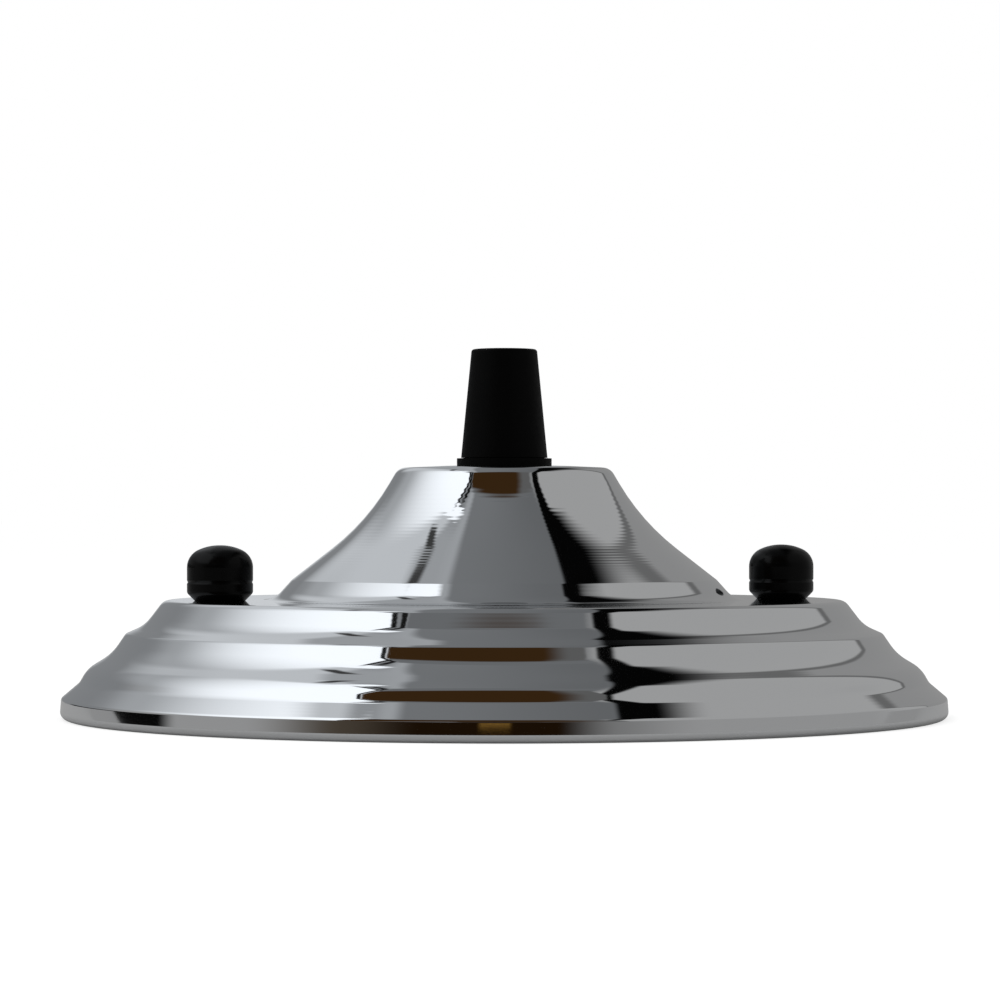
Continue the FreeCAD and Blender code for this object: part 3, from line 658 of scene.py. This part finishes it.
def dress_pieces():
    """Gives every CAD node but the canopy the finish of its kind."""
    for finish, beginnings in PIECES.items():
        material = grained(finish, *FINISHES[finish])
        for name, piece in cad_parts.items():
            if name.startswith(beginnings):
                piece.data.materials.clear()
                piece.data.materials.append(material)


def sheet_of(name, height, material):
    """Flat square of the stage at a height."""
    corners = [(x * STAGE_REACH, y * STAGE_REACH, height)
               for x, y in ((-1, -1), (1, -1), (1, 1), (-1, 1))]
    mesh = bpy.data.meshes.new(name)
    mesh.from_pydata(corners, [], [(0, 1, 2, 3)])
    made = placed(name, mesh, material)
    return made


def glow(name):
    """A material that only shines, its tree, and its shining node."""
    material = bpy.data.materials.new(name)
    material.use_nodes = True
    tree = material.node_tree
    tree.nodes.remove(tree.nodes["Principled BSDF"])
    shine = node(tree, "ShaderNodeEmission")
    tree.links.new(shine.outputs[0], tree.nodes["Material Output"].inputs["Surface"])
    return material, tree, shine


def tent_axes(tree):
    """Places on a roof, across and back as the camera sees them, in units of the near roof."""
    turn = node(tree, "ShaderNodeMapping", vector_type="POINT")
    feed(coordinates(tree, "Object"), turn.inputs["Vector"])
    feed((0.0, 0.0, CAMERA_BEARING), turn.inputs["Rotation"])
    feed((1 / NEAR_ROOF,) * 3, turn.inputs["Scale"])
    return split_axes(Field(turn.outputs["Vector"]))[:2]


def roof_panels(across, back):
    """Grey roof, paler ribbons left of it, and the light seam between them."""
    roof = colour(ramp(across, ROOF_EDGE, ROOF_LEVELS), COOL)
    roof = blend(ramp(back, ROOF_BACK_EDGE), roof, colour(ROOF_BACK_LEVEL))
    ribbon = colour(ramp(back, RIBBON_EDGE, RIBBON_LEVELS), COOL)
    pale = ramp(across, PALE_RIBBON_SIDE) * ramp(back, PALE_RIBBON_FRONT)
    ribbon = blend(pale, ribbon, colour(PALE_RIBBON_LEVEL, COOL))
    past_seam = across - line(back, SEAM_LINE)
    panels = blend(ramp(past_seam, SEAM_EDGE), ribbon, roof)
    return blend(band(past_seam, SEAM_BAND), panels, colour(SEAM_LEVEL, COOL))


def left_wall(across, back, panels):
    """White wall on the left, greyer towards the back.

    Its edge is straight in front, apart from a shelf that juts out. Behind that it leans
    outwards and softens.
    """
    behind = excess(back, WALL_LEAN_START)
    side = behind * WALL_LEAN + line(band(back, SHELF_BAND), (SHELF_JUT, WALL_SIDE))
    past_side = (side - across) / line(behind, WALL_SOFTNESS_LINE)
    depth = across * WALL_SLANT + back
    level = ramp(depth, WALL_NEAR_EDGE, WALL_NEAR_LEVELS)
    level = level * ramp(depth, WALL_FAR_EDGE, WALL_FAR_SHARES)
    return blend(ramp(past_side, WALL_EDGE), panels, colour(level, COOL))


def window_left(front):
    """Left edge of the window in the near roof."""
    return line(excess(front, WINDOW_LEFT_START), (WINDOW_LEFT_SPLAY, WINDOW_LEFT))


def uprights(across, back, panels):
    """Two dark uprights: one on the white wall's edge, and one along the window."""
    front = -back
    post = band(across, UPRIGHT_BAND) * ramp(front, UPRIGHT_EDGE)
    jamb = band(across - window_left(front), JAMB_BAND) * ramp(front, JAMB_EDGE)
    panels = blend(post, panels, colour(UPRIGHT_LEVEL))
    return blend(jamb, panels, colour(UPRIGHT_LEVEL))


def streak(across, back, panels):
    """Short dark streak on the left, a band along its direction times a band across it."""
    run, rise = STREAK_DIRECTION
    beside = across * rise - back * run + STREAK_OFFSET
    along = across * run + back * rise
    shape = band(beside, STREAK_WIDTH_BAND) * band(along, STREAK_LENGTH_BAND)
    return blend(shape, panels, colour(STREAK_LEVEL))


def right_wall(across, back, panels):
    """Grey wall on the right, darker at the back beyond a slanting dark beam."""
    past_beam = back - line(across, BEAM_LINE)
    wall = blend(ramp(past_beam, BEAM_EDGE), colour(RIGHT_WALL_LEVEL),
                 colour(RIGHT_WALL_BACK_LEVEL))
    wall = blend(band(past_beam, BEAM_BAND), wall, colour(BEAM_LEVEL))
    return blend(ramp(across, RIGHT_WALL_EDGE), panels, wall)


def dark_strip(across, back, panels):
    """Black strip between roof and right wall, which spreads and softens towards the back."""
    left = maths("MAXIMUM", line(back, STRIP_LEFT_LINE), STRIP_LEAST_LEFT)
    spread = ramp(back, STRIP_SPREAD_EDGE)
    right = line(excess(-back, 0.0), STRIP_RIGHT_LINE) + spread * STRIP_SPREAD
    softness = line(spread, STRIP_SOFTNESS_LINE) + excess(back, 0.0) * STRIP_BACK_SOFTNESS
    inside = ramp(across - left, STRIP_LEFT_EDGE)
    inside = inside * ramp((right - across) / softness, STRIP_RIGHT_EDGE)
    inside = inside * ramp(back, STRIP_FADE_EDGE, STRIP_FADE_SHARES)
    return blend(inside, panels, colour(STRIP_LEVEL))


def horizon(across, back, panels):
    """What stands low all round: brown in front with a gold glint, and grey beside it.

    At the far left a patch of shadow starts at a distance.
    """
    front = -back
    bearing = maths("ARCTAN2", across, front)
    distance = maths("SQRT", across * across + back * back)
    low = colour(HORIZON_FRONT_LEVEL, WOODEN)
    for edge, level, tint in HORIZON_LAYERS:
        low = blend(ramp(bearing, edge), low, colour(level, tint))
    glint = band(bearing, GLINT_BEARING_BAND) * band(front, GLINT_FRONT_BAND)
    low = blend(glint, low, colour(GLINT_LEVEL, GOLD))
    shadow = band(bearing, SHADOW_BEARING_BAND) * ramp(distance, SHADOW_EDGE)
    low = blend(shadow, low, colour(SHADOW_LEVEL))
    shown = ramp(bearing, HORIZON_LEFT_END) * ramp(bearing, HORIZON_RIGHT_END)
    return blend(ramp(distance, HORIZON_EDGE) * shown, panels, low)


def near_cloth():
    """Low roof with its walls beside it, and the horizon far out on its plane.

    A window in its front opens to the far roof.
    """
    material, tree, shine = glow("near_cloth")
    across, back = tent_axes(tree)
    panels = roof_panels(across, back)
    for layer in (left_wall, uprights, streak, right_wall, dark_strip, horizon):
        panels = layer(across, back, panels)
    feed(panels, shine.inputs["Color"])

    front = -back
    past_left = across - window_left(front)
    before_right = maths("MAXIMUM", front * WINDOW_RIGHT_SPLAY, WINDOW_RIGHT) - across
    between = ramp(past_left, WINDOW_SIDE_EDGE) * ramp(before_right, WINDOW_SIDE_EDGE)
    opened = ramp(front, WINDOW_BACK_EDGE) * ramp(front, WINDOW_FRONT_EDGE)
    clear = node(tree, "ShaderNodeBsdfTransparent")
    mixed = node(tree, "ShaderNodeMixShader")
    feed(opened * between, mixed.inputs["Fac"])
    tree.links.new(shine.outputs[0], mixed.inputs[1])
    tree.links.new(clear.outputs[0], mixed.inputs[2])
    tree.links.new(mixed.outputs[0], tree.nodes["Material Output"].inputs["Surface"])
    return material


def far_cloth():
    """High roof, grey, with the dark brown room beyond its front edge."""
    material, tree, shine = glow("far_cloth")
    across, back = tent_axes(tree)
    front = -back
    side = across / maths("MAXIMUM", front, LEAST_FRONT)
    room = blend(ramp(side, ROOM_SIDE_EDGE), colour(ROOM_LEVEL, WOODEN), colour(ROOM_SIDE_LEVEL))
    roof = colour(FAR_ROOF_LEVEL, COOL)
    feed(blend(ramp(front, ROOM_EDGE), roof, room), shine.inputs["Color"])
    return material


def floor_material():
    """Pale floor: white to the camera apart from the shadow on it, and dark in the chrome."""
    material, tree, shader = new_material("floor")
    feed(colour(FLOOR_LEVEL), shader.inputs["Base Color"])
    feed(1.0, shader.inputs["Roughness"])
    feed(0.0, shader.inputs["Specular IOR Level"])
    feed(colour(1.0), shader.inputs["Emission Color"])
    camera, mirrored = rays(tree)
    shine = camera * (1.0 - FLOOR_LEVEL * SKY_LEVEL) + mirrored * MIRRORED_FLOOR
    feed(shine, shader.inputs["Emission Strength"])
    return material


def build_surroundings():
    """World: white to the camera, and grey levels for matt surfaces and in the chrome."""
    world = bpy.data.worlds.new("surroundings")
    bpy.context.scene.world = world
    world.use_nodes = True
    camera, mirrored = rays(world.node_tree)
    seen = blend(mirrored, colour(SKY_LEVEL), colour(MIRRORED_SKY))
    shine = world.node_tree.nodes["Background"]
    feed(blend(camera, seen, colour(1.0)), shine.inputs["Color"])


def build_lamp():
    """Soft lamp above the left front, which doesn't show in the chrome."""
    lamp = bpy.data.lights.new("tent_light", "AREA")
    lamp.shape = "DISK"
    lamp.size = LAMP_WIDTH
    lamp.energy = LAMP_POWER
    holder = bpy.data.objects.new("tent_light", lamp)
    bpy.context.scene.collection.objects.link(holder)
    holder.location = LAMP_PLACE
    holder.rotation_euler = LAMP_TURN
    holder.visible_glossy = False


def build_stage():
    """Floor, roofs, world and lamp. Only mirror rays meet the roofs."""
    for name, height, cloth in (("near_roof", NEAR_ROOF, near_cloth()),
                                ("far_roof", FAR_ROOF, far_cloth())):
        roof = sheet_of(name, height, cloth)
        roof.visible_camera = False
        roof.visible_diffuse = False
        roof.visible_shadow = False
    sheet_of("floor", 0.0, floor_material())
    build_surroundings()
    build_lamp()


def build_camera():
    """Level camera at the photograph's distance and height."""
    data = bpy.data.cameras.new("camera")
    data.lens = CAMERA_LENS
    data.sensor_width = CAMERA_SENSOR
    data.shift_x = CAMERA_SHIFT_X
    data.shift_y = CAMERA_SHIFT_Y
    data.clip_start, data.clip_end = CAMERA_CLIP
    camera = bpy.data.objects.new("camera", data)
    bpy.context.scene.collection.objects.link(camera)
    camera.location = (-CAMERA_DISTANCE * math.sin(CAMERA_BEARING),
                       -CAMERA_DISTANCE * math.cos(CAMERA_BEARING), CAMERA_HEIGHT)
    camera.rotation_euler = (math.radians(90), 0.0, -CAMERA_BEARING)
    bpy.context.scene.camera = camera


build_canopy()
dress_pieces()
build_stage()
build_camera()
bpy.context.scene.view_settings.view_transform = "Standard"
